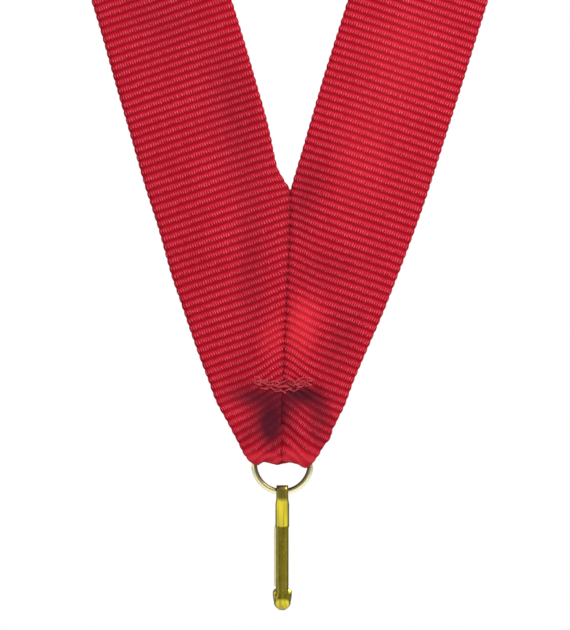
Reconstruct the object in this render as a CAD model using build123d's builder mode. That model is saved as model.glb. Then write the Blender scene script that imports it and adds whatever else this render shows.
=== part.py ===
from build123d import *
from math import asin, atan2, cos, degrees, hypot, pi, radians, sin, tan
import os

os.makedirs("parts", exist_ok=True)

# A medal's neck ribbon with a jump ring and a sprung hook. Millimetres and degrees, +Z up.
# The front of the ribbon faces -Y. The origin is the middle of the ribbon at the nape,
# where the neck carries the whole part.

# Ribbon, cut as one straight strip and sewn into a loop with a mitred point
ribbon_width = 22.0
ribbon_thickness = 0.6
arm_length = 385.0            # along the middle of the strip, nape to mitre seam
vee_half_angle = 17.9         # each arm from the upright seam
seam_gap = 0.1                # between the two mitred edges

# Levels on the point of the vee, measured down from its notch
tack_drop = 31.8              # middle of the bar tack
fold_drop = 44.6              # lowest edge of the folded tab

# Tab: the sewn tail goes through the jump ring and back up behind
tab_depth = 2.15              # inside the loop, from its middle to one wall
tail_height = 20.0            # raw end of the tail above the fold
layer_gap = 0.1               # between the two layers under the tack
fold_half_width = 3.5         # the fold itself passes inside the ring
fold_half_depth = 0.9
fold_rise = 1.6

# Half width of the tab's front layer, with the level above the fold where it has it
hem_half, hem_level = 5.3, 0.3
lower_half, lower_level = 7.0, 3.4
upper_half, upper_level = 10.8, 10.4
tack_half = 11.6
# The back layer is what is left of the mitred point, so it narrows upwards
back_half, back_level = 4.6, 5.0
back_tack_half = 4.4
back_end_half = 3.2

# Stations of the two lofted stretches
nape_half = 70.0              # half of the stretch behind the neck
nape_stations = 13
arm_stations = 25
cut_off_room = 8.0            # strip beyond the mitre, cut away

# Jump ring, round wire
ring_radius = 4.6             # to the middle of the wire
wire_radius = 0.5
ring_cut = 0.15               # where the two ends of the wire meet

# Hook, bent from flat strip
hook_thickness = 0.7
hook_width = 2.0
shoulder_width = 2.25         # the strip above its kink is a little wider
tip_width = 3.1
eye_radius = 1.0              # middle of the strip, round the ring's wire
eye_lift = 0.06
crown_height = 1.08           # the top of the eye is flattened at this height
crown_front = -0.93           # where the flat crown bends down into the shoulder
eye_bend = 0.94
tail_end = (-0.17, -3.2)      # the strip's hidden end, behind the shoulder
tail_bend = (0.02, -1.75)
eye_back_low = -0.9
tail_radius = 0.8
kink_radius = 2.0
shank_set = 1.75              # the straight shank is this far in front of the wire
kink_drop = 5.75              # below the wire
bowl_radius = 1.6             # middle of the strip, round the bottom bend
hook_drop = 18.95             # middle of the strip at the bottom, below the wire
tip_drop = 15.6
tip_length = 1.0
tip_flare = 0.3
tip_bend = 0.6
shoulder_top = 1.8            # the wider strip's two ends, below the wire
shoulder_bottom = 5.55

# Gate, a leaf of spring strip that closes the hook
gate_thickness = 0.25
gate_width = 2.4
gate_shift = -0.15            # to one side of the shank
gate_gap = 0.1                # clear of the shank at its root
gate_root_top = 2.3           # the root lies under the eye's tail, below the wire
gate_root_end = 3.3
gate_end = (1.0, -15.9)       # just inside the tip
gate_bend = 2.0

# Threads
thread_radius = 0.14
thread_clearance = 0.05       # off the mitre's seam
tack_clearance = 0.12         # off the outer layers
stitch_length = 1.9
stitch_pitch = 2.5
seam_start = 1.0              # below the notch
tack_rows = 4
tack_row_pitch = 0.5
tack_half_width = 4.4
tack_start = 0.4              # above the end of the arms


# ---------------------------------------------------------------- shape of the worn loop
# Worn, the strip lies on a cone, neck at the top, without stretching anywhere. Unrolled,
# the strip is straight, so the cone's angle follows from the vee's angle alone.
sector_half = radians(90 - vee_half_angle)
cone_half = asin(sector_half / pi)
nape_slant = arm_length / tan(sector_half)      # from the cone's point to the nape
apex = Vector(0, -nape_slant * sin(2 * cone_half), nape_slant * cos(2 * cone_half))


def on_loop(along, across):
    """The point of the loop at a place on the flat strip: along from the nape, across downwards."""
    slant = hypot(along, nape_slant + across)
    turn = atan2(along, nape_slant + across) / sin(cone_half)
    out, down = slant * sin(cone_half), slant * cos(cone_half)
    point = Vector(out * sin(turn), out * cos(turn), -down)
    return apex + point.rotate(Axis.X, degrees(cone_half))


def strip_plane(along):
    """The plane square to the strip at one station, with its X across the strip."""
    half = ribbon_width / 2
    across = on_loop(along, half) - on_loop(along, -half)
    ahead = on_loop(along + 0.5, 0) - on_loop(along - 0.5, 0)
    return Plane(origin=on_loop(along, 0), x_dir=across, z_dir=ahead)


def stations(first, last, count):
    """Evenly spaced places along the strip."""
    return [first + (last - first) * step / (count - 1) for step in range(count)]


front_y = apex.Y                                  # the seam's plane
notch_z = apex.Z - (nape_slant - ribbon_width / 2) / cos(sector_half)
tack_z = notch_z - tack_drop
fold_z = notch_z - fold_drop
mitre_end = (nape_slant + ribbon_width / 2) * tan(sector_half) + cut_off_room


# ---------------------------------------------------------------- ribbon round the neck
with BuildPart() as nape_ribbon:
    for along in stations(-nape_half, nape_half, nape_stations):
        with BuildSketch(strip_plane(along)):
            Rectangle(ribbon_width, ribbon_thickness)
    loft(ruled=True)
nape_ribbon.part.label = "nape_ribbon"
export_step(nape_ribbon.part, "parts/nape_ribbon.step")


def ribbon_arm(side, name):
    """One arm: down from the nape over the collarbone, mitred where it meets the other."""
    with BuildPart() as arm:
        for along in stations(side * nape_half, side * mitre_end, arm_stations):
            with BuildSketch(strip_plane(along)):
                Rectangle(ribbon_width, ribbon_thickness)
        loft(ruled=True)
        # The mitre is cut only in front, because the arms meet nowhere else
        with BuildSketch(Plane.XY.offset(tack_z)):
            with Locations((-side * 20 + side * seam_gap / 2, front_y)):
                Rectangle(40, 30)
        extrude(amount=notch_z - tack_z + 5, mode=Mode.SUBTRACT)
        with BuildSketch(Plane.XY.offset(tack_z)):
            with Locations((0, front_y)):
                Rectangle(100, 40)
        extrude(amount=-60, mode=Mode.SUBTRACT)
    arm.part.label = name
    export_step(arm.part, f"parts/{name}.step")


ribbon_arm(-1, "left_ribbon_arm")
ribbon_arm(1, "right_ribbon_arm")


# ---------------------------------------------------------------- tab through the ring
layer_pitch = ribbon_thickness + layer_gap
ring_y = front_y + layer_pitch / 2
ring_z = fold_z
tack_rise = tack_z - fold_z
wall = tab_depth + ribbon_thickness / 2
tab_plane = Plane(origin=(0, ring_y, fold_z), x_dir=(0, 1, 0), z_dir=(1, 0, 0))
front_plane = Plane(origin=(0, ring_y, fold_z), x_dir=(1, 0, 0), z_dir=(0, -1, 0))
above_tail = tail_height + 2

with BuildPart() as ribbon_tab:
    with BuildSketch(tab_plane):
        with BuildLine():
            bottom = (0, ribbon_thickness / 2)
            Spline(
                (-layer_pitch / 2, tack_rise),
                (-wall * 0.72, tack_rise * 0.68),
                (-wall, tack_rise * 0.38),
                (-wall * 0.72, tack_rise * 0.16),
                bottom,
                tangents=[(0, -1), (1, 0)],
            )
            Spline(
                bottom,
                (wall * 0.72, tack_rise * 0.16),
                (wall, tack_rise * 0.38),
                (wall * 0.72, tack_rise * 0.68),
                (layer_pitch / 2, tack_rise),
                tangents=[(1, 0), (0, 1)],
            )
            Line((layer_pitch / 2, tack_rise), (layer_pitch / 2, tail_height))
        trace(line_width=ribbon_thickness)
    extrude(amount=ribbon_width, both=True)
    # Front layer: as wide as the arms at the tack, gathered to the ring's width below
    with BuildSketch(front_plane):
        with BuildLine():
            Polyline(
                (0, -1), (hem_half, -1), (hem_half, hem_level), (lower_half, lower_level),
                (upper_half, upper_level), (tack_half, tack_rise), (tack_half, above_tail),
                (0, above_tail), close=True,
            )
        make_face()
        mirror(about=Plane.YZ)
    extrude(amount=10, both=True, mode=Mode.INTERSECT)
    # The fold itself is narrow enough to pass inside the ring
    with BuildSketch(front_plane.offset(fold_half_depth)):
        for side in (-1, 1):
            with Locations((side * (fold_half_width + 10), -1)):
                Rectangle(20, 2 * (fold_rise + 1))
    extrude(amount=-12, mode=Mode.SUBTRACT)
    # The back layer, from the ring's plane backwards
    with BuildSketch(front_plane):
        for side in (-1, 1):
            with BuildLine():
                Polyline(
                    (side * fold_half_width, -2), (side * fold_half_width, fold_rise),
                    (side * back_half, back_level), (side * back_tack_half, upper_level),
                    (side * back_end_half, above_tail), (side * ribbon_width, above_tail),
                    (side * ribbon_width, -2), close=True,
                )
            make_face()
    extrude(amount=-12, mode=Mode.SUBTRACT)
ribbon_tab.part.label = "ribbon_tab"
export_step(ribbon_tab.part, "parts/ribbon_tab.step")


# ---------------------------------------------------------------- threads
tail_end_z = fold_z + tail_height
seam_y = front_y + ribbon_thickness / 2 + thread_radius + thread_clearance
seam_top = notch_z - seam_start
with BuildPart() as mitre_seam_thread:
    count = int((seam_top - tail_end_z) / stitch_pitch)
    spots = [(0, seam_y, seam_top - (step + 0.5) * stitch_pitch) for step in range(count)]
    with Locations(*spots):
        Cylinder(thread_radius, stitch_length)
mitre_seam_thread.part.label = "mitre_seam_thread"
export_step(mitre_seam_thread.part, "parts/mitre_seam_thread.step")


def tack_thread(layer_y, name):
    """Rows of short stitches across the point, on one face of the sewn layers."""
    per_row = int(2 * tack_half_width / stitch_pitch) + 1
    spots = [
        (
            (place - (per_row - 1) / 2) * stitch_pitch,
            layer_y,
            tack_z + tack_start + row * tack_row_pitch,
        )
        for row in range(tack_rows)
        for place in range(per_row)
    ]
    with BuildPart() as thread:
        with Locations(*spots):
            Cylinder(thread_radius, stitch_length, rotation=(0, 90, 0))
    thread.part.label = name
    export_step(thread.part, f"parts/{name}.step")


face_off = ribbon_thickness / 2 + thread_radius + tack_clearance
tack_thread(front_y - face_off, "tack_needle_thread")
tack_thread(front_y + layer_pitch + face_off, "tack_bobbin_thread")


# ---------------------------------------------------------------- jump ring
ring_axis = Axis((0, ring_y, ring_z), (0, 1, 0))
with BuildPart() as jump_ring:
    with BuildSketch(tab_plane):
        with Locations((0, ring_radius)):
            Circle(wire_radius)
    revolve(axis=ring_axis, revolution_arc=360 - degrees(ring_cut / ring_radius))
jump_ring.part.label = "jump_ring"
export_step(jump_ring.part, "parts/jump_ring.step")


# ---------------------------------------------------------------- hook
# Drawn from the side: X is backwards and Y is up, measured from the wire at the ring's bottom
hook_plane = Plane(origin=(0, ring_y, ring_z - ring_radius), x_dir=(0, 1, 0), z_dir=(1, 0, 0))
shank_slope = (shank_set - eye_radius) / kink_drop
eye_top = eye_lift + eye_radius
kink = (-shank_set, -kink_drop)
bowl_middle = (bowl_radius - shank_set, bowl_radius - hook_drop)
bowl_front = (-shank_set, bowl_middle[1])
bowl_bottom = (bowl_middle[0], -hook_drop)
bowl_back = (bowl_middle[0] + bowl_radius, bowl_middle[1])
tip_root = (bowl_back[0], -tip_drop - tip_length)
tip = (bowl_back[0] + tip_flare, -tip_drop)

with BuildPart() as hook_body:
    with BuildSketch(hook_plane):
        with BuildLine():
            FilletPolyline(
                tail_end, tail_bend, (eye_radius, eye_back_low), (eye_radius, eye_top),
                (crown_front, eye_top), kink, bowl_front,
                radius=[tail_radius, tail_radius, eye_radius, eye_bend, kink_radius],
            )
            ThreePointArc(bowl_front, bowl_bottom, bowl_back)
            FilletPolyline(bowl_back, tip_root, tip, radius=tip_bend)
        trace(line_width=hook_thickness)
    extrude(amount=hook_width / 2, both=True)
    with BuildSketch(hook_plane):
        with BuildLine():
            Line(
                (-eye_radius - shank_slope * shoulder_top, -shoulder_top),
                (-eye_radius - shank_slope * shoulder_bottom, -shoulder_bottom),
            )
        trace(line_width=hook_thickness)
    extrude(amount=shoulder_width / 2, both=True)
    with BuildSketch(hook_plane):
        with BuildLine():
            FilletPolyline(bowl_back, tip_root, tip, radius=tip_bend)
        trace(line_width=hook_thickness)
    extrude(amount=tip_width / 2, both=True)
    with BuildSketch(hook_plane):
        with Locations((0, crown_height + 1)):
            Rectangle(6, 2)
    extrude(amount=4, both=True, mode=Mode.SUBTRACT)
hook_body.part.label = "hook_body"
export_step(hook_body.part, "parts/hook_body.step")

with BuildPart() as gate_leaf:
    back_of_shank = hook_thickness / 2 + gate_gap + gate_thickness / 2
    with BuildSketch(hook_plane.offset(gate_shift)):
        with BuildLine():
            FilletPolyline(
                (-eye_radius - shank_slope * gate_root_top + back_of_shank, -gate_root_top),
                (-eye_radius - shank_slope * gate_root_end + back_of_shank, -gate_root_end),
                gate_end,
                radius=gate_bend,
            )
        trace(line_width=gate_thickness)
    extrude(amount=gate_width / 2, both=True)
gate_leaf.part.label = "gate_leaf"
export_step(gate_leaf.part, "parts/gate_leaf.step")
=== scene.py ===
import logging
import math
from dataclasses import dataclass, field
from enum import Enum
from typing import Callable, Sequence

import bmesh
import bpy
from mathutils import Matrix, Vector, noise
from mathutils.bvhtree import BVHTree


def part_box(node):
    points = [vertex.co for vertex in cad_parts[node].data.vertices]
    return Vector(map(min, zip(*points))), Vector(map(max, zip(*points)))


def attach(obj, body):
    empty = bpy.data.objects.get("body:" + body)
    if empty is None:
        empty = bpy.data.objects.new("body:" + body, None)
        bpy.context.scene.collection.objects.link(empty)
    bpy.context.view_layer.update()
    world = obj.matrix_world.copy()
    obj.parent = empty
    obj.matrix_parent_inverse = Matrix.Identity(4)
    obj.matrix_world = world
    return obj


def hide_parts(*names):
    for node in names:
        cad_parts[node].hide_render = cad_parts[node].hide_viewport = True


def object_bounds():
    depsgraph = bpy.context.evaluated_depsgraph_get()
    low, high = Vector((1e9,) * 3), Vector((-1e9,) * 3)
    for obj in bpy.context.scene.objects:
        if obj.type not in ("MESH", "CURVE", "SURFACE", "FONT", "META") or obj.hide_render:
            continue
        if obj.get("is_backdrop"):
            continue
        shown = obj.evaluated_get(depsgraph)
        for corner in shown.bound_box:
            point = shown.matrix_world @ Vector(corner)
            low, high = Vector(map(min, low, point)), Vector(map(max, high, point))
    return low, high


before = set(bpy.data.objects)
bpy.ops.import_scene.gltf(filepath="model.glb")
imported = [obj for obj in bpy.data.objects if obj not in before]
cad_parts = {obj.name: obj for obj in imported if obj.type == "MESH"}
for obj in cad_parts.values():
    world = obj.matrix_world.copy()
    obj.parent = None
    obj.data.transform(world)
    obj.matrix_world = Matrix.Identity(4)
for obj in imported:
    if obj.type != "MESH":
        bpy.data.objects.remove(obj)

log = logging.getLogger("medal_ribbon")
CAD_LOW, CAD_HIGH = (tuple(corner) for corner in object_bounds())
MM = 0.001
Point2 = tuple[float, float]


# ---------------------------------------------------------------- places read from the frame
@dataclass(frozen=True)
class Places:
    """Where the fitted pieces stand, read from the CAD nodes.

    Attributes:
        ring: the middle of the jump ring.
        ring_radius: to the middle of its wire.
        wire_radius: half the wire's thickness.
        tack_z: the level where the arms end and the tab begins.
    """

    ring: Vector
    ring_radius: float
    wire_radius: float
    tack_z: float

    @staticmethod
    def read() -> "Places":
        """Reads the boxes of the ring and an arm."""
        low, high = (Vector(corner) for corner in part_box("jump_ring"))
        wire = (high.y - low.y) / 2
        return Places(
            ring=(low + high) / 2,
            ring_radius=(high.x - low.x) / 2 - wire,
            wire_radius=wire,
            tack_z=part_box("left_ribbon_arm")[0][2],
        )

    @property
    def wire_bottom(self) -> Vector:
        """The middle of the wire at the ring's lowest place, where the hook hangs."""
        return self.ring - Vector((0, 0, self.ring_radius))


# ---------------------------------------------------------------- small geometry helpers
def eased(stops: Sequence[Point2], at: float) -> float:
    """A smooth curve through a few stops, flat beyond its two ends.

    Args:
        stops: (place, value) pairs in rising order of place.
        at: the place to read.

    Returns:
        The value there, by monotone cubic interpolation.
    """
    if at <= stops[0][0]:
        return stops[0][1]
    if at >= stops[-1][0]:
        return stops[-1][1]
    slopes = [(b[1] - a[1]) / (b[0] - a[0]) for a, b in zip(stops, stops[1:])]
    index = next(i for i, (a, b) in enumerate(zip(stops, stops[1:])) if at <= b[0])

    def tangent(i: int) -> float:
        """The slope at one stop, zero at the ends and at a peak."""
        if i == 0:
            return slopes[0]
        if i == len(stops) - 1:
            return slopes[-1]
        before, after = slopes[i - 1], slopes[i]
        return 0.0 if before * after <= 0 else 2 * before * after / (before + after)

    (x0, y0), (x1, y1) = stops[index], stops[index + 1]
    run = x1 - x0
    t = (at - x0) / run
    m0, m1 = tangent(index) * run, tangent(index + 1) * run
    return (
        (2 * t**3 - 3 * t**2 + 1) * y0 + (t**3 - 2 * t**2 + t) * m0
        + (-2 * t**3 + 3 * t**2) * y1 + (t**3 - t**2) * m1
    )


def filleted(corners: Sequence[Point2], radii: Sequence[float], step: float) -> list[Vector]:
    """A flat path of straight runs joined by tangent arcs.

    Args:
        corners: the path's corners and its two ends.
        radii: one radius for each corner between the ends.
        step: the distance between points on the result.

    Returns:
        Points along the path, evenly spaced in each run and arc.
    """
    points = [Vector(c) for c in corners]
    path = [points[0]]

    def run_to(end: Vector) -> None:
        """Adds evenly spaced points from the last one to end."""
        start = path[-1]
        count = max(1, round((end - start).length / step))
        path.extend(start.lerp(end, (i + 1) / count) for i in range(count))

    for before, corner, after, radius in zip(points, points[1:], points[2:], radii):
        come, go = (corner - before).normalized(), (after - corner).normalized()
        turn = come.angle_signed(go)
        reach = radius * math.tan(abs(turn) / 2)
        run_to(corner - come * reach)
        side = Vector((-come.y, come.x)) * (-1 if turn > 0 else 1)
        centre = path[-1] + side * radius
        arm = path[-1] - centre
        count = max(3, round(radius * abs(turn) / step))
        for i in range(1, count + 1):
            spun = arm.copy()
            spun.rotate(Matrix.Rotation(-turn * i / count, 2))
            path.append(centre + spun)
    run_to(points[-1])
    return path


def new_piece(name: str, mesh: bpy.types.Mesh) -> bpy.types.Object:
    """Links a mesh into the scene as a smooth piece at the origin."""
    piece = bpy.data.objects.new(name, mesh)
    bpy.context.scene.collection.objects.link(piece)
    for polygon in mesh.polygons:
        polygon.use_smooth = True
    return piece


def baked(piece: bpy.types.Object) -> bpy.types.Object:
    """Turns a piece's modifiers into plain mesh and removes them."""
    graph = bpy.context.evaluated_depsgraph_get()
    mesh = bpy.data.meshes.new_from_object(
        piece.evaluated_get(graph), preserve_all_data_layers=True, depsgraph=graph
    )
    old = piece.data
    piece.modifiers.clear()
    piece.data = mesh
    mesh.name = piece.name
    bpy.data.meshes.remove(old)
    return piece


def clamped(value: float, high: float = 1.0) -> float:
    """A value kept from 0 to a high end."""
    return min(high, max(0.0, value))


def runs_along(path: Sequence[Vector]) -> list[float]:
    """How far along the path each of its points is."""
    runs = [0.0]
    for here, there in zip(path, path[1:]):
        runs.append(runs[-1] + (there - here).length)
    return runs


def placed(
    piece: bpy.types.Object, body: str, node: str, metal: bpy.types.Material | None = None
) -> bpy.types.Object:
    """Dresses a piece, rides it on its body and hides the CAD node it stands for.

    Args:
        piece: the finished piece.
        body: the body it moves with.
        node: the CAD node it replaces.
        metal: its material, unless it has one already.

    Returns:
        The same piece.
    """
    if metal:
        piece.data.materials.append(metal)
    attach(piece, body)
    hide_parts(node)
    log.info("%s: %d faces", piece.name, len(piece.data.polygons))
    return piece


def swept(name: str, rings: Sequence[Sequence[Vector]]) -> bpy.types.Mesh:
    """A capped tube through rings of points."""
    shape = bmesh.new()
    loops = [[shape.verts.new(p) for p in ring] for ring in rings]
    for here, there in zip(loops, loops[1:]):
        for i in range(len(here)):
            j = (i + 1) % len(here)
            shape.faces.new((here[i], here[j], there[j], there[i]))
    for ring in (loops[0], loops[-1]):
        middle = shape.verts.new(sum((v.co for v in ring), Vector()) / len(ring))
        for i in range(len(ring)):
            shape.faces.new((ring[i], ring[(i + 1) % len(ring)], middle))
    bmesh.ops.recalc_face_normals(shape, faces=shape.faces)
    mesh = bpy.data.meshes.new(name)
    shape.to_mesh(mesh)
    shape.free()
    return mesh


# ---------------------------------------------------------------- node tree helpers
class Tree:
    """A node tree being built, with short calls to add nodes and join sockets."""

    def __init__(self, tree: bpy.types.NodeTree) -> None:
        """Wraps an existing tree."""
        self.tree = tree

    @staticmethod
    def group(name: str, kind: str) -> "Tree":
        """A new, empty group of the given kind."""
        return Tree(bpy.data.node_groups.new(name, kind))

    def socket(self, name: str, kind: str, out: bool = False, default: object = None) -> None:
        """Adds an input or output to a group."""
        made = self.tree.interface.new_socket(
            name=name, in_out="OUTPUT" if out else "INPUT", socket_type=kind
        )
        if default is not None:
            made.default_value = default

    def add(self, kind: str, **settings: object) -> bpy.types.Node:
        """Adds a node and sets its properties."""
        node = self.tree.nodes.new(kind)
        for key, value in settings.items():
            setattr(node, key, value)
        return node

    def join(self, source: bpy.types.NodeSocket, target: bpy.types.NodeSocket) -> None:
        """Joins one socket to another."""
        self.tree.links.new(source, target)

    def feed(self, node: bpy.types.Node, index: int | str, value: object) -> None:
        """Sets an input to a number or colour, or joins a socket to it."""
        if isinstance(value, bpy.types.NodeSocket):
            self.join(value, node.inputs[index])
        else:
            node.inputs[index].default_value = value

    def math(self, operation: str, *values: object, clamp: bool = False) -> bpy.types.NodeSocket:
        """A math node's result."""
        node = self.add("ShaderNodeMath", operation=operation, use_clamp=clamp)
        for index, value in enumerate(values):
            self.feed(node, index, value)
        return node.outputs[0]

    def vector(self, operation: str, first: object, second: object) -> bpy.types.NodeSocket:
        """A vector math node's result; the second value of a SCALE is a number."""
        node = self.add("ShaderNodeVectorMath", operation=operation)
        self.feed(node, 0, first)
        self.feed(node, "Scale" if operation == "SCALE" else 1, second)
        return node.outputs[0]

    def noise(self, at: bpy.types.NodeSocket, scale: float, detail: float) -> bpy.types.NodeSocket:
        """A noise value at a place."""
        node = self.add("ShaderNodeTexNoise")
        self.join(at, node.inputs["Vector"])
        node.inputs["Scale"].default_value = scale
        node.inputs["Detail"].default_value = detail
        return node.outputs["Fac"]

    def split(self, vector: bpy.types.NodeSocket) -> bpy.types.NodeOutputs:
        """A vector's three parts."""
        node = self.add("ShaderNodeSeparateXYZ")
        self.join(vector, node.inputs[0])
        return node.outputs

    def dress(self, geometry: bpy.types.NodeSocket, material: bpy.types.NodeSocket) -> bpy.types.NodeSocket:
        """The geometry as real mesh with its material: the end of a Geometry Nodes tree."""
        real, coat = self.add("GeometryNodeRealizeInstances"), self.add("GeometryNodeSetMaterial")
        self.join(geometry, real.inputs[0])
        self.join(real.outputs[0], coat.inputs["Geometry"])
        self.join(material, coat.inputs["Material"])
        return coat.outputs[0]

    def mix(self, factor: object, low: object, high: object) -> bpy.types.NodeSocket:
        """Two colours mixed by a factor."""
        node = self.add("ShaderNodeMix", data_type="RGBA")
        self.feed(node, 0, factor)
        self.feed(node, 6, low)
        self.feed(node, 7, high)
        return node.outputs[2]

    def between(self, value: object, low: float, high: float, a: float, b: float) -> bpy.types.NodeSocket:
        """A value's range low to high, mapped to a to b and kept inside it."""
        node = self.add("ShaderNodeMapRange")
        for index, item in enumerate((value, low, high, a, b)):
            self.feed(node, index, item)
        return node.outputs[0]


class Modifier:
    """A Geometry Nodes modifier whose inputs are set by name before its first use."""

    def __init__(self, piece: bpy.types.Object, group: bpy.types.NodeTree) -> None:
        """Adds the modifier to a piece."""
        self.made = piece.modifiers.new(group.name, "NODES")
        self.made.node_group = group

    def set(self, **values: object) -> None:
        """Sets inputs, whose names have underscores for spaces."""
        for item in self.made.node_group.interface.items_tree:
            key = item.name.lower().replace(" ", "_")
            if getattr(item, "in_out", "") == "INPUT" and key in values:
                self.made[item.identifier] = values[key]


# ---------------------------------------------------------------- shader groups
class Weave:
    """Grosgrain: round ribs of weft, each wrapped by a row of fine warp floats, with masks for painted
    light on each rib's upper side, painted highlights on the floats and painted shade in the gaps between
    them.
    """

    RIB_PITCH = 1.27 * MM
    WARP_PITCH = 0.40 * MM
    RIB_STEP = 0.618

    def __init__(self) -> None:
        """Builds the shader group once."""
        tree = Tree.group("grosgrain_weave", "ShaderNodeTree")
        for name, default in (("Rib Pitch", self.RIB_PITCH), ("Warp Pitch", self.WARP_PITCH)):
            tree.socket(name, "NodeSocketFloat", default=default)
        tree.socket("Map", "NodeSocketVector")
        for name in ("Height", "Lit", "Float", "Gap", "Drift"):
            tree.socket(name, "NodeSocketFloat", out=True)
        given, out = tree.add("NodeGroupInput"), tree.add("NodeGroupOutput")
        place = given.outputs["Map"]
        across, along = tree.split(place)[:2]
        turns = tree.math("DIVIDE", along, given.outputs["Rib Pitch"])
        step = tree.math("FRACT", turns)
        row = tree.math("FLOOR", turns)
        wander = tree.noise(place, 1100.0, 2.0)
        uneven = tree.noise(place, 2300.0, 1.0)
        # Each rib starts its floats at its own place, and they wander a little across it
        start = tree.math("FRACT", tree.math("MULTIPLY", row, self.RIB_STEP))
        phase = tree.math("ADD", tree.math("DIVIDE", across, given.outputs["Warp Pitch"]), start)
        phase = tree.math("MULTIPLY_ADD", wander, 0.6, phase)
        phase = tree.math("MULTIPLY_ADD", tree.math("MULTIPLY", step, uneven), 0.4, phase)
        yarn = tree.math("SINE", tree.math("MULTIPLY", phase, 2 * math.pi))
        yarn = tree.between(yarn, -0.75, 0.75, 0.0, 1.0)
        ridge = tree.math("SINE", tree.math("MULTIPLY", step, math.pi))
        fibre = tree.noise(place, 9000.0, 3.0)
        drift = tree.noise(place, 140.0, 3.0)
        shift = tree.math("MULTIPLY_ADD", wander, 0.34, tree.math("SUBTRACT", step, 0.17))
        # Painted light: Lit marks the upper side of each rib, the dash marks painted highlights on the
        # floats, and gap marks painted shade between them
        lit = self._window(tree, shift, 0.00, 0.20, 0.50, 0.68)
        crest = self._window(tree, shift, 0.14, 0.46, 0.58, 0.76)
        dash = tree.math("MULTIPLY", crest, tree.math("POWER", yarn, 1.2))
        dash = tree.math("MULTIPLY", dash, tree.between(uneven, 0.32, 0.66, 0.25, 1.0))
        bare = tree.math("POWER", tree.math("SUBTRACT", 1.0, yarn), 1.4)
        gap = tree.math("MULTIPLY", self._window(tree, shift, 0.30, 0.50, 0.62, 0.78), bare)
        height = tree.math("MULTIPLY", ridge, tree.math("MULTIPLY_ADD", yarn, 0.40, 0.60))
        height = tree.math("MULTIPLY_ADD", fibre, 0.20, height)
        results = (("Height", height), ("Lit", lit), ("Float", dash), ("Gap", gap), ("Drift", drift))
        for name, value in results:
            tree.join(value, out.inputs[name])
        self.group = tree.tree

    @staticmethod
    def _window(
        tree: Tree, value: bpy.types.NodeSocket, a: float, b: float, c: float, d: float
    ) -> bpy.types.NodeSocket:
        """A value that rises from a to b, stays at 1 and falls from c to d."""
        rise, fall = tree.between(value, a, b, 0.0, 1.0), tree.between(value, c, d, 1.0, 0.0)
        return tree.math("MINIMUM", rise, fall)


class Plating:
    """Thin bright plating: cloudy polish with paler patches, hairlines along the strip, and painted shade
    from each piece's stored values.
    """

    def __init__(self) -> None:
        """Builds the shader group once."""
        tree = Tree.group("rubbed_plating", "ShaderNodeTree")
        tree.socket("Place", "NodeSocketVector")
        tree.socket("Colour", "NodeSocketColor", default=(0.9, 0.8, 0.2, 1))
        tree.socket("Rubbed Colour", "NodeSocketColor", default=(0.9, 0.85, 0.5, 1))
        tree.socket("Dull Colour", "NodeSocketColor", default=(0.2, 0.15, 0.05, 1))
        tree.socket("Dull", "NodeSocketFloat", default=0.0)
        tree.socket("Polish", "NodeSocketFloat", default=0.12)
        tree.socket("Streak", "NodeSocketFloat", default=0.0)
        tree.socket("Colour Out", "NodeSocketColor", out=True)
        tree.socket("Roughness", "NodeSocketFloat", out=True)
        tree.socket("Height", "NodeSocketFloat", out=True)
        given, out = tree.add("NodeGroupInput"), tree.add("NodeGroupOutput")

        def cloud(scale: float, detail: float, stretch: tuple[float, float, float]) -> bpy.types.NodeSocket:
            """A noise value, drawn out along one way."""
            mapping = tree.add("ShaderNodeMapping")
            tree.join(given.outputs["Place"], mapping.inputs["Vector"])
            mapping.inputs["Scale"].default_value = stretch
            return tree.noise(mapping.outputs[0], scale, detail)

        haze = cloud(420.0, 4.0, (1, 1, 1))
        hairline = cloud(5200.0, 2.0, (1, 1, 0.05))
        specks = cloud(2600.0, 3.0, (1, 1, 1))
        rub = tree.between(haze, 0.56, 0.74, 0.0, 0.55)
        streak = tree.between(cloud(1500.0, 2.0, (1, 0.3, 0.03)), 0.46, 0.66, 0.0, 1.0)
        coat = tree.mix(rub, given.outputs["Colour"], given.outputs["Rubbed Colour"])
        streaked = tree.math("MULTIPLY", streak, given.outputs["Streak"])
        coat = tree.mix(streaked, coat, given.outputs["Dull Colour"])
        cloudy = tree.between(haze, 0.2, 0.6, 0.8, 1.0)
        # Painted shade from the piece's stored values, clouded a little; it also makes the metal rougher
        dull = tree.math("MULTIPLY", given.outputs["Dull"], cloudy, clamp=True)
        tree.join(tree.mix(dull, coat, given.outputs["Dull Colour"]), out.inputs["Colour Out"])
        rough = tree.math("MULTIPLY_ADD", haze, 0.12, given.outputs["Polish"])
        rough = tree.math("ADD", rough, tree.between(specks, 0.62, 0.8, 0.0, 0.18))
        rough = tree.math("MULTIPLY_ADD", dull, 0.22, rough)
        tree.join(rough, out.inputs["Roughness"])
        height = tree.math("MULTIPLY_ADD", hairline, 0.5, tree.math("MULTIPLY", haze, 1.4))
        tree.join(height, out.inputs["Height"])
        self.group = tree.tree


def surface(name: str) -> tuple[Tree, bpy.types.Node]:
    """A new material's tree with a Principled shader joined to its output."""
    material = bpy.data.materials.new(name)
    material.use_nodes = True
    tree = Tree(material.node_tree)
    return tree, material.node_tree.nodes["Principled BSDF"]


def place_group(tree: Tree, group: bpy.types.NodeTree, **values: object) -> bpy.types.Node:
    """Puts a shader group in a material with its own values."""
    node = tree.add("ShaderNodeGroup", node_tree=group)
    for key, value in values.items():
        tree.feed(node, key.replace("_", " ").title(), value)
    return node


def bump(
    tree: Tree, shader: bpy.types.Node, height: bpy.types.NodeSocket, depth: float, strength: float
) -> None:
    """Feeds a height to the shader's normal."""
    node = tree.add("ShaderNodeBump")
    node.inputs["Distance"].default_value = depth
    node.inputs["Strength"].default_value = strength
    tree.join(height, node.inputs["Height"])
    tree.join(node.outputs[0], shader.inputs["Normal"])


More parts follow.
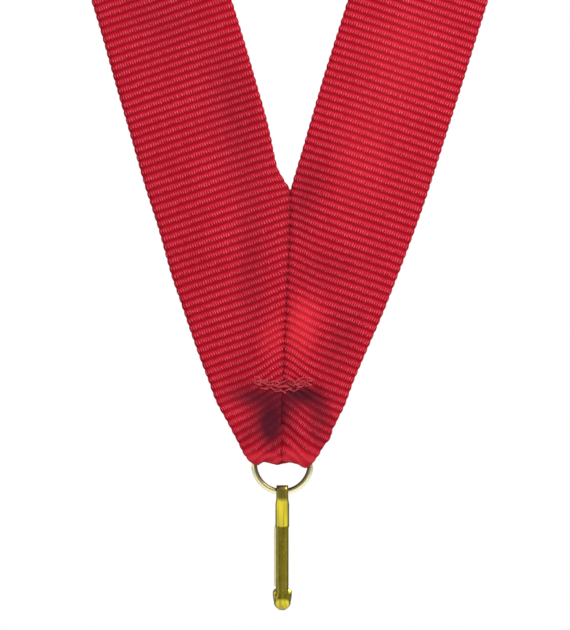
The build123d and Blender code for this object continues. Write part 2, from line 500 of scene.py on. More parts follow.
# ---------------------------------------------------------------- finishes
@dataclass(frozen=True)
class RibbonCloth:
    """Dyed grosgrain, with painted light on the upper side of each rib, painted shade below it and between
    its floats, and a painted highlight at each float's end.
    """

    dye: tuple[float, float, float] = (0.52, 0.006, 0.026)
    # Painted shade below each rib's lit side; also the dark end of the random tone drift
    deep: tuple[float, float, float] = (0.36, 0.0010, 0.009)
    # Painted highlight at each float's end
    painted_float_highlight: tuple[float, float, float] = (1.00, 0.105, 0.175)
    # Painted shade between the floats
    gap: tuple[float, float, float] = (0.29, 0.0008, 0.007)
    # Painted light on the hem and on the swells of the sewn point
    rubbed_and_painted_light: tuple[float, float, float] = (1.00, 0.040, 0.060)
    # Painted shade in the hollows under the tack and in the seam's groove
    hollow: tuple[float, float, float] = (0.085, 0.004, 0.013)

    def build(self, weave: Weave) -> bpy.types.Material:
        """Makes the material over the cloth's own map."""
        tree, shader = surface("red_grosgrain")
        uv = tree.add("ShaderNodeUVMap", uv_map="cloth")
        cloth = place_group(tree, weave.group, map=uv.outputs[0])
        # Painted light on the upper side of each rib, painted shade below it
        body = tree.mix(cloth.outputs["Lit"], (*self.deep, 1), (*self.dye, 1))
        # Painted highlight at each float's end
        body = tree.mix(cloth.outputs["Float"], body, (*self.painted_float_highlight, 1))
        # Painted shade between the floats
        body = tree.mix(cloth.outputs["Gap"], body, (*self.gap, 1))
        faded = tree.between(cloth.outputs["Drift"], 0.30, 0.72, 0.0, 0.30)
        body = tree.mix(faded, body, (*self.deep, 1))
        # The sewn point's stored values: painted light where negative, painted shade where positive
        shade = tree.add("ShaderNodeAttribute", attribute_name="crease")
        pale = tree.math("MULTIPLY", shade.outputs["Fac"], -1.0, clamp=True)
        body = tree.mix(pale, body, (*self.rubbed_and_painted_light, 1))
        dark = tree.math("MULTIPLY", shade.outputs["Fac"], 0.95, clamp=True)
        body = tree.mix(dark, body, (*self.hollow, 1))
        tree.join(body, shader.inputs["Base Color"])
        rough = tree.between(cloth.outputs["Float"], 0.0, 1.0, 0.80, 0.50)
        tree.join(rough, shader.inputs["Roughness"])
        shader.inputs["Sheen Weight"].default_value = 0.06
        shader.inputs["Sheen Roughness"].default_value = 0.4
        shader.inputs["Sheen Tint"].default_value = (1.0, 0.25, 0.3, 1)
        shader.inputs["Specular IOR Level"].default_value = 0.12
        bump(tree, shader, cloth.outputs["Height"], 0.14 * MM, 0.7)
        return bpy.data.materials["red_grosgrain"]


@dataclass(frozen=True)
class Thread:
    """Spun sewing thread, a little lighter than the cloth."""

    dye: tuple[float, float, float] = (0.60, 0.022, 0.046)
    deep: tuple[float, float, float] = (0.42, 0.008, 0.024)
    twist: float = 0.22 * MM

    def build(self) -> bpy.types.Material:
        """Makes the material: plies wound along the stitch, with loose fibre."""
        tree, shader = surface("red_thread")
        spot = tree.add("ShaderNodeTexCoord")
        wave = tree.add("ShaderNodeTexWave", bands_direction="DIAGONAL")
        tree.join(spot.outputs["Object"], wave.inputs["Vector"])
        wave.inputs["Scale"].default_value = 1 / (self.twist * 20)
        wave.inputs["Distortion"].default_value = 1.5
        plies = tree.mix(wave.outputs["Fac"], (*self.deep, 1), (*self.dye, 1))
        tree.join(plies, shader.inputs["Base Color"])
        shader.inputs["Roughness"].default_value = 0.55
        shader.inputs["Sheen Weight"].default_value = 0.3
        bump(tree, shader, wave.outputs["Fac"], 0.04 * MM, 0.7)
        return bpy.data.materials["red_thread"]


@dataclass(frozen=True)
class Metal:
    """Gold-coloured plating on steel, one colour for each piece."""

    name: str
    colour: tuple[float, float, float]
    rubbed_and_painted_light: tuple[float, float, float]
    dull: tuple[float, float, float]
    polish: float
    streak: float = 0.0

    def build(self, plating: Plating) -> bpy.types.Material:
        """Makes the material from the shared plating group."""
        tree, shader = surface(self.name)
        spot = tree.add("ShaderNodeTexCoord")
        # The ring's and hook's stored painted shade
        dull = tree.add("ShaderNodeAttribute", attribute_name="dull")
        coat = place_group(
            tree, plating.group, place=spot.outputs["Object"], colour=(*self.colour, 1),
            rubbed_colour=(*self.rubbed_and_painted_light, 1), dull_colour=(*self.dull, 1), dull=dull.outputs["Fac"],
            polish=self.polish, streak=self.streak,
        )
        tree.join(coat.outputs["Colour Out"], shader.inputs["Base Color"])
        tree.join(coat.outputs["Roughness"], shader.inputs["Roughness"])
        shader.inputs["Metallic"].default_value = 1.0
        bump(tree, shader, coat.outputs["Height"], 0.012 * MM, 0.35)
        return bpy.data.materials[self.name]


# Each piece's dark colour is the colour of its painted shade; on the hook it also colours the random
# streaks
RING_GOLD = Metal(
    "pale_gold_ring", colour=(1.0, 0.95, 0.57), rubbed_and_painted_light=(1.0, 0.98, 0.78),
    dull=(0.135, 0.10, 0.035), polish=0.08,
)
HOOK_GOLD = Metal(
    "yellow_gold_hook", colour=(0.95, 0.80, 0.055), rubbed_and_painted_light=(0.96, 0.90, 0.34),
    dull=(0.115, 0.082, 0.03), polish=0.09, streak=0.55,
)
GATE_GOLD = Metal(
    "gold_spring_leaf", colour=(0.88, 0.82, 0.46), rubbed_and_painted_light=(0.92, 0.88, 0.62),
    dull=(0.14, 0.11, 0.05), polish=0.16, streak=0.2,
)


def shaded(mesh: bpy.types.Mesh, dullness_and_painted_shade: Callable[[Vector, Vector], float]) -> None:
    """Stores painted shade at each vertex for its plating, which also makes the metal rougher there.

    Args:
        mesh: the piece's mesh.
        dullness_and_painted_shade: gives the painted shade, 0 to 1, from a vertex's place and its outward
            normal.
    """
    layer = mesh.attributes.new("dull", "FLOAT", "POINT")
    values = [dullness_and_painted_shade(vert.co, vert.normal) for vert in mesh.vertices]
    layer.data.foreach_set("value", values)


# ---------------------------------------------------------------- the ribbon's shape
class Side(Enum):
    """Which arm of the vee, by the sign of its X."""

    LEFT = -1
    RIGHT = 1


@dataclass(frozen=True)
class Dimple:
    """A soft hollow or swell in the sewn point.

    Attributes:
        x: across from the seam, in millimetres.
        rise: above the fold, in millimetres.
        wide: half its width.
        tall: half its height.
        depth: how far it goes back, negative for a swell.
        lean: how far it is turned from upright, in degrees.
        crease: how much shade it paints on the cloth; negative where it paints light instead.
    """

    x: float
    rise: float
    wide: float
    tall: float
    depth: float
    lean: float = 0.0
    crease: float = 0.0

    def share(self, x: float, rise: float) -> float:
        """How strongly the dimple acts at a place, from 0 to 1."""
        turn = math.radians(self.lean)
        dx, dz = x - self.x, rise - self.rise
        u = (dx * math.cos(turn) + dz * math.sin(turn)) / self.wide
        v = (-dx * math.sin(turn) + dz * math.cos(turn)) / self.tall
        return math.exp(-(u * u + v * v))


@dataclass
class WornLoop:
    """The neck ribbon: one straight strip worn round the neck and sewn to a point.

    The strip lies on a cone without stretching. Below the bar tack it is gathered, passes
    through the jump ring from front to back, and ends behind the point.

    Attributes:
        places: where the fitted pieces stand.
        width: of the strip.
        thickness: of the cloth between its ribs.
        rib_height: how far a rib stands up.
        arm_length: along the strip's middle from the nape to the seam.
        vee_half_angle: each arm from the upright seam, in degrees.
        nape_half: half of the stretch behind the neck, from node to node.
        rows_per_rib: mesh rows for one rib.
        columns: mesh columns across the strip.
        seam_allowance: the width of the raw edge behind the mitre seam.
        tack_rise: the tack's level above the fold, in millimetres.
        whole_rise: the height above the tack, in millimetres, over which the arms go from
            being squeezed to being moved whole.
        cloth: the ribbon's material, set when the pieces are made.
    """

    places: Places
    width: float = 22 * MM
    thickness: float = 0.40 * MM
    rib_height: float = 0.09 * MM
    arm_length: float = 385 * MM
    vee_half_angle: float = 17.9
    nape_half: float = 70 * MM
    rows_per_rib: int = 6
    columns: int = 24
    seam_allowance: float = 4.2 * MM
    tack_rise: float = 12.8
    whole_rise: float = 16
    dimples: tuple[Dimple, ...] = (
        # The deep hollows under the tack, and the ridges between them; the last numbers paint shade in the
        # hollows and light on the hem and the outer ridge
        Dimple(-1.9, 6.6, 2.3, 4.0, 1.55, 5, 1.36),
        Dimple(-4.2, 10.7, 4.4, 1.9, 0.85, -6, 0.95),
        Dimple(2.9, 11.1, 3.9, 1.7, 1.45, -8, 1.25),
        Dimple(0.0, 0.9, 6.5, 1.7, 0.0, 0, -0.62),
        Dimple(0.2, 9.0, 2.4, 2.2, 0.35, 0, 0.85),
        Dimple(6.1, 8.3, 2.0, 3.2, 0.55, 18, 0.72),
        Dimple(5.4, 4.6, 1.0, 2.4, 0.35, 25, 0.45),
        Dimple(-5.2, 6.2, 1.6, 3.4, 0.30, -24, 0.30),
        Dimple(2.4, 5.6, 1.1, 3.6, -0.85, 38, 0.18),
        Dimple(7.9, 9.5, 0.5, 5.0, -0.30, 22, -0.12),
        # The swell above the tack, lit on its upper side and with painted light on it, and the painted
        # shade round it
        Dimple(2.6, 20.6, 2.8, 3.8, -1.02, 0, -0.32),
        Dimple(2.8, 24.9, 2.5, 2.7, -0.48, 0, -0.22),
        Dimple(-2.8, 20.2, 2.9, 3.1, -0.27, 0, -0.22),
        Dimple(8.6, 19.5, 2.6, 6.0, 0.80, -18, 0.30),
        Dimple(-6.2, 31.0, 2.2, 13.0, 0.75, 3, 0.26),
        Dimple(-9.0, 54.0, 3.4, 12.0, 0.30, 14, 0.16),
        Dimple(2.2, 43.5, 2.6, 7.0, 0.80, -12, 0.32),
        Dimple(-7.5, 15.0, 3.0, 3.5, 0.35, 0, 0.10),
        Dimple(5.0, 31.0, 5.0, 3.0, 0.40, 20, 0.16),
        # Slow waves in the arms, with a little painted light and shade
        Dimple(11.0, 50.0, 6.0, 9.0, -0.9, -15, -0.10),
        Dimple(-12.0, 36.0, 5.0, 12.0, -0.7, 12, 0.0),
        Dimple(-9.0, 58.0, 5.0, 9.0, 0.8, 12, 0.12),
        Dimple(18.0, 66.0, 6.0, 8.0, -0.8, -15, -0.12),
        Dimple(-22.0, 72.0, 6.0, 7.0, 0.7, 10, 0.10),
    )
    # Down the middle of the strip from the tack: (run, level above the fold, depth from the
    # ring's plane, share of its own width that is left), in millimetres
    route: tuple[tuple[float, float, float, float], ...] = (
        (0.0, 12.8, -0.35, 0.910), (2.4, 10.4, -0.90, 0.890), (5.4, 7.5, -1.95, 0.830),
        (9.4, 3.5, -2.35, 0.720), (12.0, 1.0, -1.75, 0.640), (13.1, 0.2, -0.95, 0.560),
        (14.0, 0.0, 0.0, 0.440), (14.9, 0.5, 0.95, 0.440), (17.2, 2.6, 2.20, 0.480),
        (21.0, 6.3, 2.25, 0.580), (25.2, 10.2, 1.05, 0.700), (28.0, 12.9, 0.46, 0.800),
        (36.0, 20.9, 0.44, 1.000),
    )
    # How far each arm stands inside the flat vee, by level above the fold
    closing_left: tuple[Point2, ...] = (
        (12.8, 1.00), (19.2, 0.45), (26.0, 0.0), (31.4, -0.35), (38.0, -0.30), (44.5, -0.42),
        (52.0, -0.22), (60.0, -0.03), (75.0, 0.35), (220.0, 0.0),
    )
    closing_right: tuple[Point2, ...] = (
        (12.8, 1.60), (19.2, 1.15), (26.0, 0.75), (44.6, 0.50), (60.0, 0.55), (75.0, 0.62),
        (220.0, 0.0),
    )
    # How far the whole point leans to one side, by level above the fold
    sway: tuple[Point2, ...] = (
        (0.0, -0.2), (12.9, 0.1), (44.6, 1.28), (72.4, 1.35), (110.0, 1.2), (250.0, 0.0),
    )
    # How far the cloth at the seam is drawn up, by level above the fold
    gather: tuple[Point2, ...] = (
        (0.5, 0.10), (4.5, 1.30), (12.8, 1.60), (24.0, 0.70), (43.0, 0.10), (46.0, -0.30), (60.0, 0.0),
    )
    # The fold's lower edge: level by distance across
    hem: tuple[Point2, ...] = (
        (-5.2, 0.30), (-4.1, -0.10), (-2.7, 0.55), (-0.6, 0.0), (0.0, 0.20), (1.6, 0.42), (2.5, 0.20),
        (4.1, -0.55), (5.2, 0.10),
    )
    # How near the front layer may come to the ring's plane, by level, so that the ring can swing
    tunnel: tuple[Point2, ...] = (
        (1.0, -0.9), (2.0, -2.1), (3.2, -2.50), (5.2, -2.50), (6.2, -1.9), (7.2, -0.9), (8.4, 0.6),
    )
    pieces: list[bpy.types.Object] = field(default_factory=list)
    cloth: bpy.types.Material | None = None

    def __post_init__(self) -> None:
        """Works out the cone from the vee's angle."""
        self.sector = math.radians(90 - self.vee_half_angle)
        self.cone = math.asin(self.sector / math.pi)
        self.nape_slant = self.arm_length / math.tan(self.sector)
        self.apex = Vector(
            (0, -self.nape_slant * math.sin(2 * self.cone), self.nape_slant * math.cos(2 * self.cone))
        )
        self.notch_z = self.apex.z - (self.nape_slant - self.width / 2) / math.cos(self.sector)
        self.fold_z = self.places.ring.z
        self.mitre_end = (self.nape_slant + self.width / 2) * math.tan(self.sector) + 3 * MM

    def on_cone(self, along: float, across: float) -> Vector:
        """The point of the worn loop at a place on the flat strip."""
        slant = math.hypot(along, self.nape_slant + across)
        turn = math.atan2(along, self.nape_slant + across) / math.sin(self.cone)
        out, down = slant * math.sin(self.cone), slant * math.cos(self.cone)
        point = Vector((out * math.sin(turn), out * math.cos(turn), -down))
        return self.apex + Matrix.Rotation(self.cone, 3, "X") @ point

    def _ridge(self, along: float) -> float:
        """How high the rib stands at a place along the strip, from 0 to 1."""
        return abs(math.sin(math.pi * along / Weave.RIB_PITCH))

    def flat_mesh(self, first: float, last: float) -> bmesh.types.BMesh:
        """A stretch of strip on the cone, with its own map and its scalloped edges."""
        shape = bmesh.new()
        cloth = shape.loops.layers.uv.new("cloth")
        step = Weave.RIB_PITCH / self.rows_per_rib
        low, high = math.floor(first / step), math.ceil(last / step)
        places = [min(max(i * step, first), last) for i in range(low, high + 1)]
        places = [p for i, p in enumerate(places) if i == 0 or p - places[i - 1] > step * 0.2]
        rows = []
        for along in places:
            draw = 1 - (1 - self._ridge(along)) * 0.006
            row = []
            for column in range(self.columns + 1):
                share = 2 * column / self.columns - 1
                reach = draw if column in (0, self.columns) else 1.0
                across = share * reach * self.width / 2
                drift = noise.noise(Vector((across * 90, along * 40, 3.7))) * 0.16 * MM
                row.append((shape.verts.new(self.on_cone(along + drift, across)), across, along))
            rows.append(row)
        for here, there in zip(rows, rows[1:]):
            for i in range(self.columns):
                corners = (here[i], here[i + 1], there[i + 1], there[i])
                face = shape.faces.new([c[0] for c in corners])
                for loop, corner in zip(face.loops, corners):
                    loop[cloth].uv = (corner[1] + self.width / 2, corner[2])
        return shape

    def _trim(self, shape: bmesh.types.BMesh, at: Vector, away: Vector) -> None:
        """Cuts away everything on the far side of a plane."""
        bmesh.ops.bisect_plane(
            shape, geom=shape.verts[:] + shape.edges[:] + shape.faces[:], plane_co=at, plane_no=away,
            clear_outer=True,
        )

    def settle(self, point: Vector) -> tuple[Vector, float]:
        """Where a point of the flat vee goes once the point is gathered and sewn.

        Args:
            point: a place on the cone.

        Returns:
            Its place, and the shade painted on the cloth there, negative where light is painted instead.
        """
        run = (self.places.tack_z - point.z) / MM
        x = point.x / MM
        if run <= 0:
            rise, back = (point.z - self.fold_z) / MM, (point.y - self.apex.y) / MM - 0.35
            x = self._closed_in(x, rise)
        else:
            levels, depths, shares = ([(r[0], r[i]) for r in self.route] for i in (1, 2, 3))
            rise, back, share = eased(levels, run), eased(depths, run), eased(shares, run)
            cupped = (point.y - self.apex.y) / MM
            back += cupped * max(0.0, 1 - run / 8)
            x *= share
            nearer = 0.40 if x > 0 else -0.19
            x -= nearer * (x / 11.7) * math.exp(-((run / 4.5) ** 2))
        side = 1.25 if x > 0 and run > 0 else 1.0
        if run < 13.5:
            rise += side * eased(self.gather, rise) * math.exp(-((x / 3.3) ** 2))
        front = 1.0 if run < 12 else max(0.0, 1 - (run - 12) / 2)
        crease = 0.0
        for dimple in self.dimples:
            pull = dimple.share(x, rise) * front
            back += dimple.depth * pull
            share = dimple.crease * pull
            crease = 1 - (1 - crease) * (1 - share) if share > 0 else crease + share
        if 0 < run < 13.0 and rise > 1.0:
            # A soft minimum keeps the hollows out of the ring's way without a sharp line
            reach = eased(self.tunnel, rise) + max(0.0, abs(x) - 5.4) * 1.5
            back = -math.log(math.exp(-5 * back) + math.exp(-5 * reach)) / 5
        rise += eased(self.hem, x) * math.exp(-(((run - 13.2) / 2.2) ** 2))
        # The two mitred edges turn in towards the seam, with painted shade along the groove
        if rise < (self.notch_z - self.fold_z) / MM + 1 and run < 13.5:
            groove = math.exp(-((x / 0.38) ** 2))
            back += 0.34 * groove
            crease = max(crease, 0.42 * groove) if crease > 0 else crease + 0.42 * groove
        back += 0.13 * noise.noise(Vector((point.x * 210, point.z * 160, 1.3)))
        x += 0.5 * math.exp(-(((rise - 4.0) / 1.1) ** 2)) * max(0.0, (x - 5.5) / 2)
        if x < 0 and run < 0:
            clear = min(1.0, max(0.0, (rise - 44.7) / 3.4))
            x -= 1.2 * clear * math.exp(-(((rise - 49.0) / 6.5) ** 2)) * math.exp(x / 3.5)
        x += eased(self.sway, rise)
        place = Vector((x * MM, self.places.ring.y + back * MM, self.fold_z + rise * MM))
        return place, crease

    def _closed_in(self, x: float, rise: float) -> float:
        """Where a place across the arms goes as they close in towards each other.

        Args:
            x: across from the seam on the flat vee, in millimetres.
            rise: above the fold, in millimetres.

        Returns:
            The place across, squeezed evenly near the tack and moved whole higher up.
        """
        close = eased(self.closing_left if x < 0 else self.closing_right, rise)
        outer = (self.fold_z + rise * MM - self.apex.z) / MM
        slant = (self.nape_slant + self.width / 2) / MM / math.cos(self.sector)
        outer = math.tan(math.radians(self.vee_half_angle)) * (outer + slant)
        squeezed = x * (1 - close / outer)
        moved = x * (1 - close / max(abs(x), 6.0))
        whole = clamped((rise - self.tack_rise) / self.whole_rise)
        return squeezed + (moved - squeezed) * whole

    def _finish(self, shape: bmesh.types.BMesh, name: str, settled: bool) -> bpy.types.Object:
        """Settles a flat mesh, gives it thickness and ribs, and makes it a piece."""
        shades: list[float] = []
        for vert in shape.verts:
            if settled:
                vert.co, crease = self.settle(vert.co)
            else:
                crease = 0.0
            shades.append(crease)
        bmesh.ops.recalc_face_normals(shape, faces=shape.faces)
        mesh = bpy.data.meshes.new(name)
        shape.to_mesh(mesh)
        shape.free()
        # Painted shade, and painted light where negative, for the cloth's colour
        layer = mesh.attributes.new("crease", "FLOAT", "POINT")
        layer.data.foreach_set("value", shades)
        piece = new_piece(name, mesh)
        wall = piece.modifiers.new("cloth", "SOLIDIFY")
        wall.thickness = self.thickness
        wall.offset = 0.0
        wall.use_even_offset = False
        Modifier(piece, self.ribs()).set(
            rib_pitch=Weave.RIB_PITCH, rib_height=self.rib_height, material=self.cloth
        )
        return baked(piece)

    def ribs(self) -> bpy.types.NodeTree:
        """The node tree that raises the ribs along the strip's own map."""
        known = bpy.data.node_groups.get("grosgrain_ribs")
        if known:
            return known
        tree = Tree.group("grosgrain_ribs", "GeometryNodeTree")
        tree.tree.is_modifier = True
        tree.socket("Geometry", "NodeSocketGeometry")
        tree.socket("Rib Pitch", "NodeSocketFloat", default=Weave.RIB_PITCH)
        tree.socket("Rib Height", "NodeSocketFloat", default=self.rib_height)
        tree.socket("Material", "NodeSocketMaterial")
        tree.socket("Geometry", "NodeSocketGeometry", out=True)
        given, out = tree.add("NodeGroupInput"), tree.add("NodeGroupOutput")
        cloth = tree.add("GeometryNodeInputNamedAttribute", data_type="FLOAT_VECTOR")
        cloth.inputs["Name"].default_value = "cloth"
        along = tree.split(cloth.outputs["Attribute"])[1]
        turns = tree.math("DIVIDE", along, given.outputs["Rib Pitch"])
        ridge = tree.math("ABSOLUTE", tree.math("SINE", tree.math("MULTIPLY", turns, math.pi)))
        lift = tree.math("MULTIPLY", ridge, given.outputs["Rib Height"])
        normal = tree.add("GeometryNodeInputNormal")
        push = tree.vector("SCALE", normal.outputs[0], lift)
        move = tree.add("GeometryNodeSetPosition")
        tree.join(given.outputs["Geometry"], move.inputs["Geometry"])
        tree.join(push, move.inputs["Offset"])
        done = tree.dress(move.outputs[0], given.outputs["Material"])
        tree.join(done, out.inputs["Geometry"])
        return tree.tree

    def _arm_mesh(self, side: Side, first: float) -> bmesh.types.BMesh:
        """The strip from a place on it to its mitred end, mirrored for the left arm."""
        shape = self.flat_mesh(first, self.mitre_end)
        if side.value < 0:
            for vert in shape.verts:
                vert.co.x = -vert.co.x
        return shape

    def half(self, side: Side) -> bpy.types.Object:
        """One arm, its half of the sewn point and its half of the tail."""
        sign = side.value
        shape = self._arm_mesh(side, self.nape_half)
        self._trim(shape, Vector((sign * 0.01 * MM, 0, 0)), Vector((-sign, 0, 0)))
        tail = self.places.tack_z - (self.route[-1][0] * MM)
        self._trim(shape, Vector((0, 0, tail)), Vector((0, 0, -1)))
        return self._finish(shape, f"{side.name.lower()}_ribbon_half", True)

    def nape(self) -> bpy.types.Object:
        """The stretch of strip behind the neck."""
        shape = self.flat_mesh(-self.nape_half, self.nape_half)
        return self._finish(shape, "nape_ribbon_band", False)

    def allowance(self, side: Side) -> bpy.types.Object:
        """The raw edge beyond the mitre seam, pressed back behind its own arm."""
        sign = side.value
        shape = self._arm_mesh(side, self.arm_length - 42 * MM)
        self._trim(shape, Vector((-sign * 0.05 * MM, 0, 0)), Vector((sign, 0, 0)))
        self._trim(shape, Vector((-sign * self.seam_allowance, 0, 0)), Vector((-sign, 0, 0)))
        self._trim(shape, Vector((0, 0, self.places.tack_z + 2.6 * MM)), Vector((0, 0, -1)))
        for vert in shape.verts:
            place, _ = self.settle(Vector((-vert.co.x, vert.co.y, vert.co.z)))
            tuck = min(1.0, abs(vert.co.x) / (1.1 * MM))
            place.y += (0.10 + 0.58 * tuck) * MM
            vert.co = place
        return self._finish(shape, f"{side.name.lower()}_seam_allowance", False)

    def build(self, cloth: bpy.types.Material) -> None:
        self.cloth = cloth
        halves = {side: self.half(side) for side in Side}
        nape = self.nape()
        flaps = {side: self.allowance(side) for side in Side}
        self.pieces = [*halves.values(), nape, *flaps.values()]
        for piece in self.pieces:
            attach(piece, "ribbon")
        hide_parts("left_ribbon_arm", "ribbon_tab")
        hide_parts("right_ribbon_arm", "ribbon_tab")
        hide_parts("nape_ribbon")
        for piece in self.pieces:
            log.info("%s: %d faces", piece.name, len(piece.data.polygons))


# ---------------------------------------------------------------- threads
@dataclass(frozen=True)
class StitchPlan:
    """One field of stitches in rows.

    Attributes:
        name: of the piece.
        node: the CAD node it stands for.
        middle: the field's middle.
        per_row: stitches in a row.
        rows: how many rows.
        pitch: from stitch to stitch in a row.
        row_pitch: from row to row.
        length: of a stitch.
        bow: how much higher the rows' ends are than their middle, per metre squared.
        upright: whether the rows run up the seam instead of across.
        facing: 1 where the stitches show in front, -1 behind.
        seed: for the small differences between stitches.
        radius: of the thread.
        slack: how far a stitch bows out of the cloth, halved.
    """

    name: str
    node: str
    middle: Vector
    per_row: int
    rows: int
    pitch: float
    row_pitch: float
    length: float
    bow: float
    upright: bool
    facing: float
    seed: int
    radius: float = 0.11 * MM
    slack: float = 0.16 * MM


class Stitcher:
    """Makes fields of stitches with one Geometry Nodes tree."""

    def __init__(self) -> None:
        """Builds the tree once."""
        tree = Tree.group("stitch_rows", "GeometryNodeTree")
        tree.tree.is_modifier = True
        tree.socket("Geometry", "NodeSocketGeometry")
        for name, default in (("Per Row", 4), ("Rows", 4), ("Seed", 1)):
            tree.socket(name, "NodeSocketInt", default=default)
        for name in ("Pitch", "Row Pitch", "Length", "Bow", "Radius", "Slack"):
            tree.socket(name, "NodeSocketFloat", default=0.001)
        tree.socket("Middle", "NodeSocketVector")
        tree.socket("Turn", "NodeSocketVector")
        tree.socket("Material", "NodeSocketMaterial")
        tree.socket("Geometry", "NodeSocketGeometry", out=True)
        given, out = tree.add("NodeGroupInput"), tree.add("NodeGroupOutput")
        self._given = given.outputs

        grid = tree.add("GeometryNodeMeshGrid")
        spans = []
        for count, pitch in (("Per Row", "Pitch"), ("Rows", "Row Pitch")):
            gaps = tree.math("SUBTRACT", given.outputs[count], 1.0)
            spans.append(tree.math("MULTIPLY", gaps, given.outputs[pitch]))
        tree.join(spans[0], grid.inputs["Size X"])
        tree.join(spans[1], grid.inputs["Size Y"])
        tree.join(given.outputs["Per Row"], grid.inputs["Vertices X"])
        tree.join(given.outputs["Rows"], grid.inputs["Vertices Y"])

        bowed = tree.add("GeometryNodeSetPosition")
        across = tree.split(tree.add("GeometryNodeInputPosition").outputs[0])[0]
        square = tree.math("MULTIPLY", across, across)
        shift = tree.vector("SCALE", self._random(tree, 0.24, 11), given.outputs["Length"])
        bow = tree.add("ShaderNodeCombineXYZ")
        tree.join(tree.math("MULTIPLY", square, given.outputs["Bow"]), bow.inputs[1])
        both = tree.vector("ADD", shift, bow.outputs[0])
        tree.join(grid.outputs["Mesh"], bowed.inputs["Geometry"])
        tree.join(tree.vector("MULTIPLY", both, (1, 0.9, 0.12)), bowed.inputs["Offset"])

        stitch = self._stitch(tree)
        spread = tree.add("GeometryNodeInstanceOnPoints")
        tree.join(bowed.outputs[0], spread.inputs["Points"])
        tree.join(stitch, spread.inputs["Instance"])
        turn = tree.vector("MULTIPLY", self._random(tree, 1.0, 23), (0.3, 0.10, 0.62))
        tree.join(turn, spread.inputs["Rotation"])
        move = tree.add("GeometryNodeTransform")
        tree.join(spread.outputs[0], move.inputs["Geometry"])
        tree.join(given.outputs["Middle"], move.inputs["Translation"])
        tree.join(given.outputs["Turn"], move.inputs["Rotation"])
        done = tree.dress(move.outputs[0], given.outputs["Material"])
        tree.join(done, out.inputs["Geometry"])
        self.group = tree.tree

    def _random(self, tree: Tree, spread: float, offset: int) -> bpy.types.NodeSocket:
        """A random vector for each stitch, from the field's own seed."""
        node = tree.add("FunctionNodeRandomValue", data_type="FLOAT_VECTOR")
        node.inputs[0].default_value = (-spread,) * 3
        node.inputs[1].default_value = (spread,) * 3
        tree.join(tree.math("ADD", self._given["Seed"], float(offset)), node.inputs["Seed"])
        return node.outputs[0]

    def _stitch(self, tree: Tree) -> bpy.types.NodeSocket:
        """One stitch: a bowed length of thread whose ends dive into the cloth."""
        arc = tree.add("GeometryNodeCurveQuadraticBezier")
        arc.inputs["Resolution"].default_value = 8
        half = tree.math("MULTIPLY", self._given["Length"], 0.5)
        sunk = tree.math("MULTIPLY", self._given["Slack"], -1.0)
        top = tree.math("MULTIPLY", self._given["Slack"], 2.0)
        for name, sign, depth in (("Start", -1.0, sunk), ("Middle", 0.0, top), ("End", 1.0, sunk)):
            point = tree.add("ShaderNodeCombineXYZ")
            tree.join(tree.math("MULTIPLY", half, sign), point.inputs[0])
            tree.join(depth, point.inputs[2])
            tree.join(point.outputs[0], arc.inputs[name])
        ring = tree.add("GeometryNodeCurvePrimitiveCircle")
        ring.inputs["Resolution"].default_value = 8
        tree.join(self._given["Radius"], ring.inputs["Radius"])
        tube = tree.add("GeometryNodeCurveToMesh")
        tree.join(arc.outputs[0], tube.inputs["Curve"])
        tree.join(ring.outputs[0], tube.inputs["Profile Curve"])
        tube.inputs["Fill Caps"].default_value = True
        smooth = tree.add("GeometryNodeSetShadeSmooth")
        tree.join(tube.outputs[0], smooth.inputs["Geometry"])
        return smooth.outputs[0]

    def lay(
        self, mesh: bpy.types.Mesh, level: float, facing: float, cloth: Sequence[bpy.types.Object]
    ) -> None:
        """Moves the stitches on to the cloth they were sewn through.

        Args:
            mesh: the stitches, made on a flat upright plane.
            level: that plane's Y.
            facing: 1 where they show in front, -1 behind.
            cloth: the pieces that they lie on.
        """
        trees = []
        for piece in cloth:
            corners = [v.co for v in piece.data.vertices]
            faces = [tuple(f.vertices) for f in piece.data.polygons]
            trees.append(BVHTree.FromPolygons(corners, faces))
        for vert in mesh.vertices:
            start = Vector((vert.co.x, level - facing * 0.02, vert.co.z))
            hits = [tree.ray_cast(start, Vector((0, facing, 0)), 0.04)[0] for tree in trees]
            found = [hit.y for hit in hits if hit]
            if found:
                vert.co.y += (min(found) if facing > 0 else max(found)) - level

    def sew(
        self, plan: StitchPlan, thread: bpy.types.Material, cloth: Sequence[bpy.types.Object] = ()
    ) -> bpy.types.Object:
        """Makes one field of stitches, lays it on the cloth and rides it on the ribbon."""
        piece = new_piece(plan.name, bpy.data.meshes.new(plan.name))
        turn = (math.radians(90) * plan.facing, math.radians(-90) if plan.upright else 0.0, 0.0)
        Modifier(piece, self.group).set(
            per_row=plan.per_row, rows=plan.rows, seed=plan.seed, pitch=plan.pitch,
            row_pitch=plan.row_pitch, length=plan.length, bow=plan.bow, radius=plan.radius,
            slack=plan.slack, middle=tuple(plan.middle), turn=turn, material=thread,
        )
        baked(piece)
        self.lay(piece.data, plan.middle.y, plan.facing, cloth)
        return placed(piece, "ribbon", plan.node)


